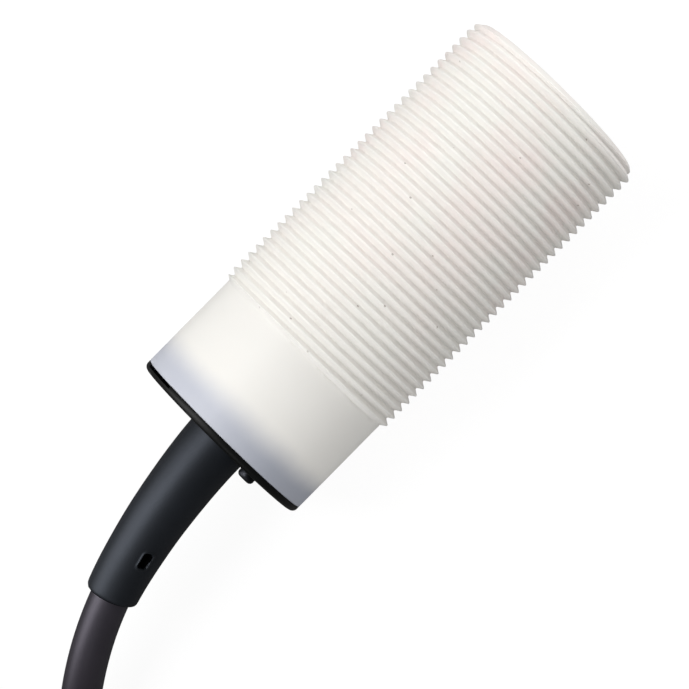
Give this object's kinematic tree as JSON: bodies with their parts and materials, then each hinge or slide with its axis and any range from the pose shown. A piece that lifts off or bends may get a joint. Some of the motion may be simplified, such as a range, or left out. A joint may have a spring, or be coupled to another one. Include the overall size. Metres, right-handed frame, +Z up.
{
  "type": "capacitive proximity sensor",
  "caption": "Cylindrical capacitive proximity sensor with threaded plastic barrel, rear cap with sensitivity adjuster, strain relief and bare-ended cable.",
  "frame": {"origin": "centre of the sensing face", "axes": "+X along the barrel and out of the sensing face, +Z up with the sensor lying on its side, 16 mm below the origin is the surface it lies on"},
  "size_m": [0.1975, 0.071, 0.0375],
  "materials": {
    "barrel_plastic": "turned fluoropolymer, waxy off-white, slightly translucent",
    "cap_plastic": "moulded black plastic, fine matt",
    "relief_rubber": "soft moulded slate-grey, satin",
    "cable_jacket": "extruded dark purple-grey jacket, satin",
    "core_brown": "extruded brown core insulation",
    "core_blue": "extruded blue core insulation",
    "core_black": "extruded black core insulation",
    "tinned_metal": "tinned metal",
    "electrode_brass": "rolled brass",
    "board_laminate": "glass laminate with green mask",
    "potting_resin": "cast resin",
    "chip_epoxy": "moulded epoxy",
    "capacitor_can": "drawn can",
    "capacitor_ceramic": "fired ceramic",
    "resistor_ceramic": "fired film on ceramic",
    "led_epoxy": "clear yellow epoxy",
    "guide_plastic": "clear moulded plastic",
    "trimmer_plastic": "moulded plastic",
    "element_ceramic": "fired alumina plate with printed tracks",
    "screw_blackened": "blackened brass",
    "seal_rubber": "moulded rubber ring",
    "carriage_plastic": "moulded plastic"
  },
  "bodies": {
    "sensor": {"barrel": "barrel_plastic", "rear_cap": "cap_plastic", "strain_relief": "relief_rubber", "cable_lead": "cable_jacket", "cable_coil": "cable_jacket", "cable_tail": "cable_jacket", "tail_core_brown": "core_brown", "tail_core_blue": "core_blue", "tail_core_black": "core_black", "wire_ferrules": "tinned_metal", "sensing_electrode": "electrode_brass", "guard_ring": "electrode_brass", "electrode_board": "board_laminate", "shield_sleeve": "electrode_brass", "link_pins": "tinned_metal", "main_board": "board_laminate", "potting_compound": "potting_resin", "oscillator_chip": "chip_epoxy", "comparator_chip": "chip_epoxy", "voltage_regulator": "chip_epoxy", "output_transistor": "chip_epoxy", "protection_diode": "chip_epoxy", "filter_capacitor": "capacitor_can", "ceramic_capacitors": "capacitor_ceramic", "chip_resistors": "resistor_ceramic", "status_led": "led_epoxy", "light_guide": "guide_plastic", "trimmer_case": "trimmer_plastic", "resistive_element": "element_ceramic", "trimmer_pins": "tinned_metal", "adjuster_seal": "seal_rubber", "cable_clamp": "tinned_metal", "inner_core_brown": "core_brown", "inner_core_blue": "core_blue", "inner_core_black": "core_black"},
    "adjuster": {"adjusting_screw": "screw_blackened"},
    "wiper": {"wiper_carriage": "carriage_plastic", "wiper_contact": "electrode_brass"}
  },
  "joints": [
    {"name": "wiper_travel", "type": "slide", "parent": "sensor", "child": "wiper", "axis": [-1, 0, 0], "range_m": [-0.005, 0.005]},
    {"name": "adjuster_turn", "type": "hinge", "parent": "sensor", "child": "adjuster", "pos_m": [-0.06955, -0.00651, 0.00546], "axis": [1, 0, 0], "range_deg": [-3600, 3600]}
  ],
  "couplings": [
    {"joint": "adjuster_turn", "follows": "wiper_travel", "rad_per_m": 12566}
  ]
}
